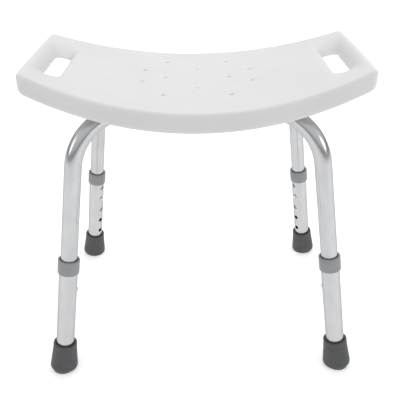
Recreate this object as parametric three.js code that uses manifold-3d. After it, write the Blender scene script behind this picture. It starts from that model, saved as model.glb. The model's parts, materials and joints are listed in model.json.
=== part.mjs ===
// Backless bath bench: a dished, hollow plastic seat on two crossing bent-tube
// frames, with four telescoping leg extensions held by sprung snap buttons.
// Millimetres, +Z up. The origin is on the floor, under the middle of the seat.
// +X runs along the seat's long side, +Y towards its back.

import * as THREE from 'three';
import { mergeVertices } from 'three/addons/utils/BufferGeometryUtils.js';
import Module from 'manifold-3d';

const wasm = await Module();
wasm.setup();

// ---- Driving dimensions ----------------------------------------------------

const GAP = 0.4;                  // clearance between pieces that sit together

const SEAT_WIDTH = 497;           // end to end
const SEAT_END_DEPTH = 238;       // front to back at either end
const SEAT_BOW = 38;              // how far each long side bulges at its middle
const SEAT_TOP = 440;             // height of the sitting surface at its lowest point
const SEAT_THICKNESS = 30;
const SEAT_DISH_RADIUS = 660;     // both ends sweep up along this radius
const SEAT_CROWN = 1.5;           // the surface falls this much towards its long sides
const SEAT_WALL = 3;
const SEAT_EDGE_RADIUS = 9;
const SEAT_CORNER_RADIUS = 10;    // seen from above
const FLAT_MIDDLE = 0.35;         // share of the half depth that has no crown
const POST_RADIUS = 8.5;          // solid posts inside the seat, round drains and screws
const VENT_RADIUS = 3;            // vent of the hollow seat, in its underside
const VENT_PLACE = 110;

const SLOT_CENTRE = 215;          // hand grips, measured from the middle of the seat
const SLOT_HALF_WIDTH = 12.5;
const SLOT_HALF_LENGTH = 52;
const SLOT_CORNER_RADIUS = 8;
const SLOT_FLARE_SIDE = 4;
const SLOT_FLARE_END = 36;
const SLOT_FLARE_POWER = 1.3;

const DRAIN_RADIUS = 2.3;
const DRAIN_SINK_RADIUS = 7;
const DRAIN_SINK_DEPTH = 2;
const DRAIN_SHIFT = 5;            // the drains' pattern lies this far behind the middle

const TUBE_RADIUS = 12.7;         // bent frame tube
const TUBE_WALL = 1.5;
const EXTENSION_RADIUS = 14.3;    // lower leg, slides over the frame tube
const EXTENSION_WALL = 1.2;
const FRAME_ANGLE = THREE.MathUtils.degToRad(36.8);   // each frame's plane, from +X
const LEG_SPLAY = THREE.MathUtils.degToRad(9.8);      // each leg, from upright
const FOOT_REACH = 286;           // from the middle to a leg's axis at the floor
const RUN_HEIGHT = 416;           // axis of the tube's level run under the seat
const BEND_RADIUS = 74;
const HUB_HALF_HEIGHT = 6.6;      // the tube is pressed this flat where the frames cross
const HUB_SPREAD = 5;             // and grows this much wider on each side
const HUB_HALF_GAP = 0.25;        // half the space between the two pressed tubes
const HUB_FLAT_REACH = 20;        // the tube is fully pressed out to here
const HUB_TAPER_REACH = 56;       // and round again from here
const HUB_RECESS_RADIUS = 58;     // recess in the seat over the crossing
const HUB_RECESS_TOP = 430;
const GROOVE_LENGTH = 304;        // open grooves in the seat's underside, end to end
const GROOVE_WALL_LENGTH = 460;

// Places along a leg, measured up its axis from the floor.
const TUBE_END = 106;
const EXTENSION_BOTTOM = 11.5;
const EXTENSION_TOP = 204;
const COLLAR_BOTTOM = 184;
const COLLAR_TOP = 207.4;
const COLLAR_RADIUS = 16.7;
const TIP_TOP = 51;
const TIP_FLOOR = 9.2;            // thickness of rubber under the tube's end
const BUTTON_HEIGHT = 148;
const HOLE_PITCH = 27;
const HOLES_ABOVE_BUTTON = 1;
const HOLES_BELOW_BUTTON = 3;
const BUTTON_RADIUS = 3.9;
const BUTTON_FLANGE = 8.2;        // distance of the button's inner face from the leg's axis
const BUTTON_NOSE = 17.6;
const BUTTON_FLANGE_RADIUS = 5.2;
const BUTTON_FLANGE_THICKNESS = 1.2;

const SCREW_REACH = 105;          // seat screws, from the middle along each run
const SCREW_RADIUS = 2.2;
const SCREW_TOP = 438;
const SCREW_HEAD_RADIUS = 4.8;
const SCREW_HEAD_HEIGHT = 2.9;
const SCREW_WASHER_RADIUS = 6;
const WASHER_THICKNESS = 1.5;
const BOLT_RADIUS = 3;
const HEX_RADIUS = 5.77;          // across-corners radius of the bolt head and nut
const BOLT_HEAD_HEIGHT = 4;
const BOLT_WASHER_RADIUS = 7;
const BOLT_POCKET_RADIUS = 9;     // room for the bolt head, in the seat
const BOLT_POCKET_TOP = 434.4;
const NUT_HEIGHT = 5;

const ROUND = 20;                 // sides on tubes and turned pieces
const SMALL_ROUND = 12;           // sides on holes, buttons and screws
const BEYOND = 20;                // how far cutters run on past what they cut

// ---- Geometry helpers --------------------------------------------------------

function toSolid(geometry) {
  const bare = geometry.clone();
  bare.deleteAttribute('normal');
  bare.deleteAttribute('uv');
  const merged = mergeVertices(bare, 1e-4);
  return new wasm.Manifold(new wasm.Mesh({
    numProp: 3,
    vertProperties: new Float32Array(merged.attributes.position.array),
    triVerts: new Uint32Array(merged.index.array),
  }));
}

function toGeometry(solid) {
  const mesh = solid.getMesh();
  const geometry = new THREE.BufferGeometry();
  geometry.setAttribute('position', new THREE.BufferAttribute(mesh.vertProperties, 3));
  geometry.setIndex(new THREE.BufferAttribute(mesh.triVerts, 1));
  return geometry;
}

function union(geometries) {
  return geometries.map(toSolid).reduce((whole, next) => whole.add(next));
}

// Closed solid through a row of rings that all have the same number of points.
function loft(rings) {
  const count = rings[0].length;
  const positions = rings.flat().flatMap((point) => point.toArray());
  const index = [];
  for (let row = 0; row < rings.length - 1; row += 1) {
    for (let i = 0; i < count; i += 1) {
      const next = (i + 1) % count;
      const a = row * count + i;
      const b = row * count + next;
      index.push(a, b, a + count, b, b + count, a + count);
    }
  }
  const last = (rings.length - 1) * count;
  for (let i = 1; i < count - 1; i += 1) {
    index.push(0, i + 1, i);
    index.push(last, last + i, last + i + 1);
  }
  const geometry = new THREE.BufferGeometry();
  geometry.setAttribute('position', new THREE.Float32BufferAttribute(positions, 3));
  geometry.setIndex(index);
  return geometry;
}

// Upright cylinder standing on `bottom`.
function post(radius, bottom, top, x = 0, y = 0, sides = SMALL_ROUND, topRadius = radius) {
  const geometry = new THREE.CylinderGeometry(topRadius, radius, top - bottom, sides);
  geometry.rotateX(Math.PI / 2);
  return geometry.translate(x, y, (top + bottom) / 2);
}

// Body turned about +Z from [radius, height] pairs.
function turned(profile, sides = ROUND) {
  const points = profile.map(([radius, height]) => new THREE.Vector2(radius, height));
  return new THREE.LatheGeometry(points, sides).rotateX(Math.PI / 2);
}

// Turned ring, whose profile closes on itself.
function turnedRing(profile, sides = ROUND) {
  return turned([...profile, profile[0]], sides);
}

// A curve that is sampled only at its own stations.
class StationPath extends THREE.Curve {
  constructor(stations) {
    super();
    this.stations = stations;
  }

  station(t) {
    return this.stations[Math.round(t * (this.stations.length - 1))];
  }

  getPoint(t) {
    return this.station(t).point.clone();
  }

  getPointAt(t) {
    return this.getPoint(t);
  }

  getTangentAt(t) {
    return this.station(t).tangent.clone();
  }
}

function sweepCircle(radius, stations, sides = ROUND) {
  const circle = new THREE.Shape();
  circle.absarc(0, 0, radius, 0, 2 * Math.PI, false);
  return new THREE.ExtrudeGeometry(circle, {
    steps: stations.length - 1,
    curveSegments: sides / 2,
    extrudePath: new StationPath(stations),
  });
}

// ---- Leg frames ----------------------------------------------------------------

const LEGS = [
  { name: 'front_left', x: -1, y: -1 },
  { name: 'front_right', x: 1, y: -1 },
  { name: 'rear_left', x: -1, y: 1 },
  { name: 'rear_right', x: 1, y: 1 },
];

// Places a leg's own axes: Z up the leg from the floor, X towards the middle.
function legMatrix(leg) {
  const outward = new THREE.Vector3(leg.x * Math.cos(FRAME_ANGLE), leg.y * Math.sin(FRAME_ANGLE), 0);
  const up = outward.clone().multiplyScalar(-Math.sin(LEG_SPLAY));
  up.z = Math.cos(LEG_SPLAY);
  const inward = outward.clone().multiplyScalar(-Math.cos(LEG_SPLAY));
  inward.z = -Math.sin(LEG_SPLAY);
  const sideways = new THREE.Vector3().crossVectors(up, inward);
  const matrix = new THREE.Matrix4().makeBasis(inward, sideways, up);
  return matrix.setPosition(outward.multiplyScalar(FOOT_REACH));
}

// ---- Frame tubes -----------------------------------------------------------------

// The tube's axis as [reach, height, heading] from one leg's end up to the middle.
// The heading turns from the leg's slope to level.
function halfFrameStations(tubeEnd) {
  const turn = Math.PI / 2 - LEG_SPLAY;
  const tangentLength = BEND_RADIUS * Math.tan(turn / 2);
  const cornerReach = FOOT_REACH - RUN_HEIGHT * Math.tan(LEG_SPLAY);
  const bendEnd = cornerReach - tangentLength;
  const bendSteps = 6;
  const stations = [[
    FOOT_REACH - tubeEnd * Math.sin(LEG_SPLAY),
    tubeEnd * Math.cos(LEG_SPLAY),
    Math.PI / 2 + LEG_SPLAY,
  ]];
  for (let i = 0; i <= bendSteps; i += 1) {
    const heading = Math.PI / 2 + LEG_SPLAY + turn * i / bendSteps;
    stations.push([
      bendEnd + BEND_RADIUS * Math.sin(heading),
      RUN_HEIGHT - BEND_RADIUS - BEND_RADIUS * Math.cos(heading),
      heading,
    ]);
  }
  const taperSteps = 3;
  for (let i = 0; i <= taperSteps; i += 1) {
    const reach = THREE.MathUtils.lerp(HUB_TAPER_REACH, HUB_FLAT_REACH, i / taperSteps);
    stations.push([reach, RUN_HEIGHT, Math.PI]);
  }
  return stations;
}

// Whole inverted U in the plane through X and Z.
function frameStations(tubeEnd = TUBE_END) {
  const half = halfFrameStations(tubeEnd);
  const first = half.map(([reach, height, heading]) => ({
    point: new THREE.Vector3(reach, 0, height),
    tangent: new THREE.Vector3(Math.cos(heading), 0, Math.sin(heading)),
  }));
  const second = half.reverse().map(([reach, height, heading]) => ({
    point: new THREE.Vector3(-reach, 0, height),
    tangent: new THREE.Vector3(Math.cos(heading), 0, -Math.sin(heading)),
  }));
  return [...first, ...second];
}

// Presses the tube flat where the frames cross, above or below the other one.
function pressHub(geometry, side) {
  const position = geometry.attributes.position;
  const pressed = TUBE_RADIUS - HUB_HALF_HEIGHT;
  for (let i = 0; i < position.count; i += 1) {
    const reach = Math.abs(position.getX(i));
    const amount = 1 - THREE.MathUtils.smoothstep(reach, HUB_FLAT_REACH, HUB_TAPER_REACH);
    const height = position.getZ(i) - RUN_HEIGHT;
    const ring = Math.hypot(position.getY(i), height);
    if (amount === 0 || ring === 0) continue;
    const lift = side * amount * (HUB_HALF_HEIGHT + HUB_HALF_GAP);
    position.setY(i, position.getY(i) * (ring + HUB_SPREAD * amount) / ring);
    position.setZ(i, RUN_HEIGHT + lift + height * (ring - pressed * amount) / ring);
  }
  return geometry;
}

function frameTube(angle, hubSide, legs) {
  const low = RUN_HEIGHT - BEYOND;
  const high = RUN_HEIGHT + BEYOND;
  const outer = pressHub(sweepCircle(TUBE_RADIUS, frameStations()), hubSide);
  const boreStations = frameStations(TUBE_END - BEYOND);
  const bore = pressHub(sweepCircle(TUBE_RADIUS - TUBE_WALL, boreStations), hubSide);
  let tube = toSolid(outer.rotateZ(angle)).subtract(toSolid(bore.rotateZ(angle)));
  tube = tube.subtract(toSolid(post(BOLT_RADIUS + GAP, low, high)));
  for (const side of [-1, 1]) {
    const x = side * SCREW_REACH * Math.cos(angle);
    const y = side * SCREW_REACH * Math.sin(angle);
    tube = tube.subtract(toSolid(post(SCREW_RADIUS + GAP, low, high, x, y)));
  }
  for (const leg of legs) {
    tube = tube.subtract(toSolid(buttonHole(BUTTON_HEIGHT).applyMatrix4(legMatrix(leg))));
  }
  return toGeometry(tube);
}

// ---- Leg pieces, each in its leg's own axes ------------------------------------------

// Cutter for one button hole, through the inward wall only.
function buttonHole(height) {
  const radius = BUTTON_RADIUS + GAP;
  const start = TUBE_RADIUS / 2;
  const cutter = new THREE.CylinderGeometry(radius, radius, BEYOND, SMALL_ROUND);
  return cutter.rotateZ(Math.PI / 2).translate(start + BEYOND / 2, 0, height);
}

function extension() {
  const inner = EXTENSION_RADIUS - EXTENSION_WALL;
  let tube = toSolid(turnedRing([
    [inner, EXTENSION_BOTTOM],
    [EXTENSION_RADIUS, EXTENSION_BOTTOM],
    [EXTENSION_RADIUS, EXTENSION_TOP],
    [inner, EXTENSION_TOP],
  ]));
  for (let step = -HOLES_BELOW_BUTTON; step <= HOLES_ABOVE_BUTTON; step += 1) {
    tube = tube.subtract(toSolid(buttonHole(BUTTON_HEIGHT + step * HOLE_PITCH)));
  }
  return toGeometry(tube);
}

// Plastic guide that caps the extension and hugs the frame tube.
function collar() {
  const seat = EXTENSION_RADIUS + GAP;
  return turnedRing([
    [seat, COLLAR_BOTTOM],
    [COLLAR_RADIUS, COLLAR_BOTTOM],
    [COLLAR_RADIUS, COLLAR_TOP - 1.5],
    [COLLAR_RADIUS - 1.2, COLLAR_TOP],
    [TUBE_RADIUS + GAP, COLLAR_TOP],
    [TUBE_RADIUS + GAP, EXTENSION_TOP + GAP],
    [seat, EXTENSION_TOP + GAP],
  ]);
}

// Rubber foot. Its sole is cut level, so it stands flat though the leg leans.
function tip() {
  const bore = EXTENSION_RADIUS + GAP;
  const body = toSolid(turned([
    [0, -8],
    [22, -8],
    [22.4, 1],
    [22, 6],
    [20.6, 13],
    [19.8, 28],
    [18.6, TIP_TOP - 1.5],
    [17.4, TIP_TOP],
    [bore, TIP_TOP],
    [bore, TIP_FLOOR],
    [0, TIP_FLOOR],
  ]));
  const ground = new THREE.BoxGeometry(80, 80, 40).translate(0, 0, -20).rotateY(-LEG_SPLAY);
  return toGeometry(body.subtract(toSolid(ground)));
}

// Steel disc that stops the tube from cutting through the rubber.
function tipWasher() {
  return post(EXTENSION_RADIUS - 0.6, TIP_FLOOR + GAP, EXTENSION_BOTTOM - GAP, 0, 0, ROUND);
}

function snapButton() {
  const shape = turned([
    [0, BUTTON_FLANGE],
    [BUTTON_FLANGE_RADIUS, BUTTON_FLANGE],
    [BUTTON_FLANGE_RADIUS, BUTTON_FLANGE + BUTTON_FLANGE_THICKNESS],
    [BUTTON_RADIUS, BUTTON_FLANGE + BUTTON_FLANGE_THICKNESS],
    [BUTTON_RADIUS, BUTTON_NOSE - 1.8],
    [BUTTON_RADIUS - 0.5, BUTTON_NOSE - 0.8],
    [BUTTON_RADIUS - 1.7, BUTTON_NOSE - 0.2],
    [0, BUTTON_NOSE],
  ], SMALL_ROUND);
  return shape.rotateY(Math.PI / 2).translate(0, 0, BUTTON_HEIGHT);
}

// Bent spring strip inside the frame tube, one arm behind the button.
function buttonSpring() {
  const thickness = 0.8;
  const width = 6;
  const front = BUTTON_FLANGE - GAP;
  const outer = [[front, 8], [front, -12], [3.5, -27], [0.6, -31], [-2.6, -30], [-5, -24], [-9.2, 6]];
  const back = front - thickness;
  const inner = [
    [-8.4, 6], [-4.2, -23.6], [-2.2, -29], [0.3, -30], [2.8, -26.5], [back, -11.8], [back, 8],
  ];
  const strip = new THREE.Shape([...outer, ...inner].map(([x, z]) => new THREE.Vector2(x, z)));
  const geometry = new THREE.ExtrudeGeometry(strip, { depth: width, bevelEnabled: false });
  return geometry.rotateX(Math.PI / 2).translate(0, width / 2, BUTTON_HEIGHT);
}

// ---- Seat ----------------------------------------------------------------------------

// Height of the dished surface along the middle of the seat.
function dishHeight(x) {
  return SEAT_TOP + SEAT_DISH_RADIUS - Math.sqrt(SEAT_DISH_RADIUS ** 2 - x ** 2);
}

// How far a rounded end of this radius has pulled in, `distance` from its tip.
function roundedPull(radius, distance) {
  return distance >= radius ? 0 : radius - Math.sqrt(radius ** 2 - (radius - distance) ** 2);
}

function crownDrop(y, halfDepth) {
  const share = Math.max(0, Math.abs(y) / halfDepth - FLAT_MIDDLE) / (1 - FLAT_MIDDLE);
  return SEAT_CROWN * Math.min(share, 1) ** 2;
}

// Outline of the seat's cross-section at x, `inset` inside its skin.
function seatRing(x, inset) {
  const halfWidth = SEAT_WIDTH / 2 - inset;
  const fromEnd = halfWidth - Math.abs(x);
  const fullDepth = SEAT_END_DEPTH / 2 + SEAT_BOW * (1 - (2 * x / SEAT_WIDTH) ** 2);
  const depth = fullDepth - inset - roundedPull(SEAT_CORNER_RADIUS - inset, fromEnd);
  const edge = SEAT_EDGE_RADIUS - inset;
  const pull = inset + roundedPull(edge, fromEnd);
  const top = -pull;
  const bottom = pull - SEAT_THICKNESS;
  const bend = Math.min(edge, (top - bottom - SEAT_CROWN) / 2 - 0.5);
  const points = [];
  const add = (y, height, crowned) => {
    const drop = crowned ? crownDrop(y, fullDepth) : 0;
    points.push(new THREE.Vector3(x, y, dishHeight(x) + height - drop));
  };
  const steps = 3;
  for (let i = 0; i <= steps; i += 1) {
    const angle = Math.PI / 2 * i / steps;
    add(depth - bend + bend * Math.sin(angle), bottom + bend - bend * Math.cos(angle), false);
  }
  for (let i = 0; i <= steps; i += 1) {
    const angle = Math.PI / 2 * i / steps;
    add(depth - bend + bend * Math.cos(angle), top - bend + bend * Math.sin(angle), true);
  }
  for (const share of [0.8, 0.58, FLAT_MIDDLE, -FLAT_MIDDLE, -0.58, -0.8]) {
    add(share * (depth - bend), top, true);
  }
  for (let i = 0; i <= steps; i += 1) {
    const angle = Math.PI / 2 * i / steps;
    add(-depth + bend - bend * Math.sin(angle), top - bend + bend * Math.cos(angle), true);
  }
  for (let i = 0; i <= steps; i += 1) {
    const angle = Math.PI / 2 * i / steps;
    add(-depth + bend - bend * Math.cos(angle), bottom + bend - bend * Math.sin(angle), false);
  }
  return points;
}

function seatStations(inset) {
  const halfWidth = SEAT_WIDTH / 2 - inset;
  const spans = 7;
  const start = 12;
  const end = halfWidth - SEAT_CORNER_RADIUS;
  const half = [];
  for (let i = 0; i < spans; i += 1) half.push(THREE.MathUtils.lerp(start, end, i / spans));
  for (const share of [1, 0.65, 0.35, 0.13, 0.03, 0]) half.push(halfWidth - share * SEAT_CORNER_RADIUS);
  return [...half.map((x) => -x).reverse(), ...half];
}

function seatBody(inset) {
  return toSolid(loft(seatStations(inset).map((x) => seatRing(x, inset))));
}

// Rounded rectangle around one hand grip, grown by `side` and `end`.
function slotRing(centre, side, end, height) {
  const halfWidth = SLOT_HALF_WIDTH + side;
  const halfLength = SLOT_HALF_LENGTH + end;
  const radius = SLOT_CORNER_RADIUS + side;
  const steps = 4;
  const points = [];
  for (const [signX, signY, start] of [[1, 1, 0], [-1, 1, 1], [-1, -1, 2], [1, -1, 3]]) {
    for (let i = 0; i <= steps; i += 1) {
      const angle = Math.PI / 2 * (start + i / steps);
      const x = centre + signX * (halfWidth - radius) + radius * Math.cos(angle);
      const y = signY * (halfLength - radius) + radius * Math.sin(angle);
      points.push(new THREE.Vector3(x, y, dishHeight(x) + height));
    }
  }
  return points;
}

// Hand-grip opening: narrowest half way down, flaring to both faces.
function slotCutter(centre, wall) {
  const middle = -SEAT_THICKNESS / 2;
  const levels = [-1.3, -1, -0.6, 0, 0.45, 0.8, 1, 1.3];
  return toSolid(loft(levels.map((level) => {
    const share = Math.min(Math.abs(level), 1) ** SLOT_FLARE_POWER;
    const side = SLOT_FLARE_SIDE * share + wall;
    const end = SLOT_FLARE_END * share + wall;
    return slotRing(centre, side, end, middle - middle * level);
  })));
}

function drainPlaces() {
  const places = [];
  for (const side of [-1, 1]) {
    for (const y of [-84, 0, 84]) places.push([side * 50, y + DRAIN_SHIFT]);
    for (const y of [-29, 29]) places.push([side * 84, y + DRAIN_SHIFT]);
  }
  for (const y of [-47, 47]) places.push([0, y + DRAIN_SHIFT]);
  return places;
}

function drainCutter([x, y]) {
  const top = dishHeight(x);
  const sinkBottom = top - DRAIN_SINK_DEPTH;
  const sinkTop = top + DRAIN_SINK_DEPTH;
  const sinkTopRadius = 2 * DRAIN_SINK_RADIUS - DRAIN_RADIUS;
  const sink = post(DRAIN_RADIUS, sinkBottom, sinkTop, x, y, SMALL_ROUND, sinkTopRadius);
  return union([sink, post(DRAIN_RADIUS, top - SEAT_THICKNESS - BEYOND, top, x, y)]);
}

function screwPlaces() {
  return LEGS.map((leg) => [
    leg.x * SCREW_REACH * Math.cos(FRAME_ANGLE),
    leg.y * SCREW_REACH * Math.sin(FRAME_ANGLE),
  ]);
}

// Upright slab along both frames, `top` high.
function crossedSlabs(length, halfWidth, top) {
  const height = 3 * BEYOND;
  const slab = new THREE.BoxGeometry(length, 2 * halfWidth, height).translate(0, 0, top - height / 2);
  return union([slab.clone().rotateZ(FRAME_ANGLE), slab.rotateZ(-FRAME_ANGLE)]);
}

// Room for both frames under the seat: a groove along each, and a hub recess.
function frameRoom() {
  const radius = TUBE_RADIUS + GAP;
  let room = toSolid(post(HUB_RECESS_RADIUS, RUN_HEIGHT - BEYOND, HUB_RECESS_TOP, 0, 0, ROUND));
  room = room.add(crossedSlabs(GROOVE_LENGTH, radius, RUN_HEIGHT));
  for (const angle of [FRAME_ANGLE, -FRAME_ANGLE]) {
    room = room.add(toSolid(sweepCircle(radius, frameStations()).rotateZ(angle)));
  }
  return room;
}

// The same room with the seat's wall around it.
function frameRoomWalls() {
  const top = RUN_HEIGHT + TUBE_RADIUS + GAP + SEAT_WALL;
  const slabs = crossedSlabs(GROOVE_WALL_LENGTH, TUBE_RADIUS + GAP + SEAT_WALL, top);
  const radius = HUB_RECESS_RADIUS + SEAT_WALL;
  return slabs.add(toSolid(post(radius, RUN_HEIGHT - BEYOND, HUB_RECESS_TOP + SEAT_WALL, 0, 0, ROUND)));
}

function seat() {
  const low = SEAT_TOP - SEAT_THICKNESS - BEYOND;
  let hollow = seatBody(SEAT_WALL).subtract(frameRoomWalls());
  let shell = seatBody(0);
  for (const side of [-1, 1]) {
    hollow = hollow.subtract(slotCutter(side * SLOT_CENTRE, SEAT_WALL));
  }
  for (const [x, y] of [...drainPlaces(), ...screwPlaces()]) {
    hollow = hollow.subtract(toSolid(post(POST_RADIUS, low, SEAT_TOP + BEYOND, x, y, 8)));
  }
  shell = shell.subtract(hollow).subtract(frameRoom());
  for (const side of [-1, 1]) {
    shell = shell.subtract(slotCutter(side * SLOT_CENTRE, 0));
  }
  for (const place of drainPlaces()) shell = shell.subtract(drainCutter(place));
  for (const [x, y] of screwPlaces()) {
    shell = shell.subtract(toSolid(post(SCREW_RADIUS + GAP, RUN_HEIGHT, SCREW_TOP + 1, x, y)));
  }
  shell = shell.subtract(toSolid(post(BOLT_POCKET_RADIUS, RUN_HEIGHT, BOLT_POCKET_TOP)));
  const vent = post(VENT_RADIUS, low, SEAT_TOP - SEAT_THICKNESS / 2, 0, VENT_PLACE);
  return toGeometry(shell.subtract(toSolid(vent)));
}

// ---- Fasteners -----------------------------------------------------------------------

// Pan-head screw through the tube into the seat. Its head is under the tube.
function seatScrew() {
  const headTop = RUN_HEIGHT - TUBE_RADIUS - GAP - WASHER_THICKNESS - GAP;
  const headBottom = headTop - SCREW_HEAD_HEIGHT;
  const pointStart = SCREW_TOP - 3;
  return toGeometry(union([
    post(SCREW_HEAD_RADIUS - 0.6, headBottom, headTop, 0, 0, SMALL_ROUND, SCREW_HEAD_RADIUS),
    post(SCREW_RADIUS, headTop - 1, pointStart),
    post(SCREW_RADIUS, pointStart - 0.01, SCREW_TOP, 0, 0, SMALL_ROUND, 0.6),
  ]));
}

function washer(innerRadius, outerRadius, top) {
  return turnedRing([
    [innerRadius, top - WASHER_THICKNESS],
    [outerRadius, top - WASHER_THICKNESS],
    [outerRadius, top],
    [innerRadius, top],
  ], SMALL_ROUND);
}

function screwWasher() {
  return washer(SCREW_RADIUS + GAP, SCREW_WASHER_RADIUS, RUN_HEIGHT - TUBE_RADIUS - GAP);
}

const HUB_HIGH = RUN_HEIGHT + HUB_HALF_GAP + 2 * HUB_HALF_HEIGHT;
const HUB_LOW = RUN_HEIGHT - HUB_HALF_GAP - 2 * HUB_HALF_HEIGHT;
const NUT_TOP = HUB_LOW - GAP - WASHER_THICKNESS - GAP;

function crossBolt() {
  const headBottom = HUB_HIGH + GAP;
  return toGeometry(union([
    post(HEX_RADIUS, headBottom, headBottom + BOLT_HEAD_HEIGHT, 0, 0, 6),
    post(BOLT_RADIUS, NUT_TOP - NUT_HEIGHT - BOLT_RADIUS, headBottom + 1),
  ]));
}

function boltWasher() {
  return washer(BOLT_RADIUS + GAP, BOLT_WASHER_RADIUS, HUB_LOW - GAP);
}

function boltNut() {
  const body = toSolid(post(HEX_RADIUS, NUT_TOP - NUT_HEIGHT, NUT_TOP, 0, 0, 6));
  return toGeometry(body.subtract(toSolid(post(BOLT_RADIUS + GAP, HUB_LOW - BEYOND, HUB_LOW))));
}

// ---- Assembly ------------------------------------------------------------------------

const MATERIALS = {
  seat: { color: 0xe9e9e6, roughness: 0.5, metalness: 0 },
  aluminium: { color: 0xc9cacb, roughness: 0.32, metalness: 1 },
  collar: { color: 0x8d8f90, roughness: 0.55, metalness: 0 },
  rubber: { color: 0x555758, roughness: 0.75, metalness: 0 },
  steel: { color: 0xb9babb, roughness: 0.25, metalness: 1 },
};

const bench = new THREE.Group();

function addPiece(parent, name, geometry, material) {
  const mesh = new THREE.Mesh(geometry, new THREE.MeshStandardMaterial(MATERIALS[material]));
  mesh.name = name;
  parent.add(mesh);
  return mesh;
}

function addLeg(leg) {
  const group = new THREE.Group();
  group.applyMatrix4(legMatrix(leg));
  addPiece(group, `leg_extension_${leg.name}`, extension(), 'aluminium');
  addPiece(group, `collar_${leg.name}`, collar(), 'collar');
  addPiece(group, `rubber_tip_${leg.name}`, tip(), 'rubber');
  addPiece(group, `tip_washer_${leg.name}`, tipWasher(), 'steel');
  addPiece(group, `snap_button_${leg.name}`, snapButton(), 'steel');
  addPiece(group, `button_spring_${leg.name}`, buttonSpring(), 'steel');
  bench.add(group);
}

function addFasteners() {
  LEGS.forEach((leg, i) => {
    const [x, y] = screwPlaces()[i];
    addPiece(bench, `seat_screw_${leg.name}`, seatScrew(), 'steel').position.set(x, y, 0);
    addPiece(bench, `screw_washer_${leg.name}`, screwWasher(), 'steel').position.set(x, y, 0);
  });
  addPiece(bench, 'cross_bolt', crossBolt(), 'steel');
  addPiece(bench, 'bolt_washer', boltWasher(), 'steel');
  addPiece(bench, 'bolt_nut', boltNut(), 'steel');
}

const [frontLeft, frontRight, rearLeft, rearRight] = LEGS;
addPiece(bench, 'seat', seat(), 'seat');
addPiece(bench, 'frame_tube_upper', frameTube(FRAME_ANGLE, 1, [frontLeft, rearRight]), 'aluminium');
addPiece(bench, 'frame_tube_lower', frameTube(-FRAME_ANGLE, -1, [frontRight, rearLeft]), 'aluminium');
LEGS.forEach(addLeg);
addFasteners();

export default bench;
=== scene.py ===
# Looks of the backless bath bench: smooth moulded seat, satin tubes, collars, rubber
# tips, snap buttons and fasteners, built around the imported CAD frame. Metres, +Z up.

import json
import math

import bmesh
import bpy
import numpy as np
from mathutils import Matrix, Vector

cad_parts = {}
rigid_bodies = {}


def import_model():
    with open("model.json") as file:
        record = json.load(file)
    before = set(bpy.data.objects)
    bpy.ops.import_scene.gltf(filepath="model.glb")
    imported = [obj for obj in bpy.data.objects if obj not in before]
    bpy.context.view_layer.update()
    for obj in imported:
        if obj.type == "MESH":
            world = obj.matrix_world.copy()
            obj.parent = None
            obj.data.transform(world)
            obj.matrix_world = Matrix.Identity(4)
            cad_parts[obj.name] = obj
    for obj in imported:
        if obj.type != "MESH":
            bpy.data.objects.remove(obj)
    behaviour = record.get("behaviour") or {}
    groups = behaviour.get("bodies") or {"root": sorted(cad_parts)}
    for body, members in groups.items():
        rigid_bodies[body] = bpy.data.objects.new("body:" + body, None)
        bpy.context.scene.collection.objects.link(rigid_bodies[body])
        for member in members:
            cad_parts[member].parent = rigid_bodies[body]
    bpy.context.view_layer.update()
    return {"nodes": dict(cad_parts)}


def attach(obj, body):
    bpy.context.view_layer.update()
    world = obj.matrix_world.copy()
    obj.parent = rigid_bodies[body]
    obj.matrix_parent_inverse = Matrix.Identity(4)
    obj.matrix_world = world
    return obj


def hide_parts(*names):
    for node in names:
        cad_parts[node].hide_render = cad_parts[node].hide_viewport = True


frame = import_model()

MM = 0.001
CLEARANCE = 0.4 * MM     # between pieces that sit together

# ---- Sizes, the same as the CAD part's where nothing else is said ------------------

SEAT_HALF_WIDTH = 248.5 * MM
SEAT_END_HALF_DEPTH = 119 * MM
SEAT_BOW = 38 * MM
SEAT_TOP = 440 * MM
SEAT_THICKNESS = 30 * MM
SEAT_DISH_RADIUS = 660 * MM
SEAT_CROWN = 1.5 * MM
SEAT_CORNER_RADIUS = 10 * MM
SEAT_TOP_EDGE = 9 * MM
SEAT_LOW_EDGE = 4.5 * MM     # half the CAD's
FLAT_MIDDLE = 0.35       # share of the half depth that has no crown

SLOT_CENTRE = 215 * MM
SLOT_HALF_WIDTH = 12.5 * MM
SLOT_HALF_LENGTH = 52 * MM
SLOT_FLARE_SIDE = 8 * MM     # twice the CAD's, for a softer rim
SLOT_FLARE_END = 36 * MM
SLOT_FLARE_POWER = 1.3
SLOT_CORNER_RADIUS = 8 * MM
SLOT_CORNER_GROWTH = 12 * MM
SLOT_TOP_RIM = 7 * MM
SLOT_LOW_RIM = 4 * MM

DRAIN_RADIUS = 2.3 * MM
DRAIN_SINK_RADIUS = 7 * MM
DRAIN_SINK_DEPTH = 2 * MM
DRAIN_SHIFT = 5 * MM
DRAIN_RIM = 2 * MM

HUB_RECESS_RADIUS = 58 * MM
HUB_RECESS_TOP = 430 * MM
BOLT_POCKET_RADIUS = 9 * MM
BOLT_POCKET_TOP = 434.4 * MM
RECESS_RIM = 2 * MM
VENT_RADIUS = 3 * MM
VENT_PLACE = 110 * MM
VENT_DEPTH = 16 * MM     # from the sitting surface to the top of the vent
SMALL_RIM = 1 * MM

TUBE_RADIUS = 12.7 * MM
TUBE_WALL = 1.5 * MM
EXTENSION_RADIUS = 14.3 * MM
EXTENSION_WALL = 1.2 * MM
FRAME_ANGLE = math.radians(36.8)
LEG_SPLAY = math.radians(9.8)
FOOT_REACH = 286 * MM
RUN_HEIGHT = 416 * MM
BEND_RADIUS = 74 * MM
HUB_HALF_HEIGHT = 6.6 * MM
HUB_SPREAD = 5 * MM
HUB_HALF_GAP = 0.25 * MM
HUB_FLAT_REACH = 20 * MM
HUB_TAPER_LENGTH = 36 * MM

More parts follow.
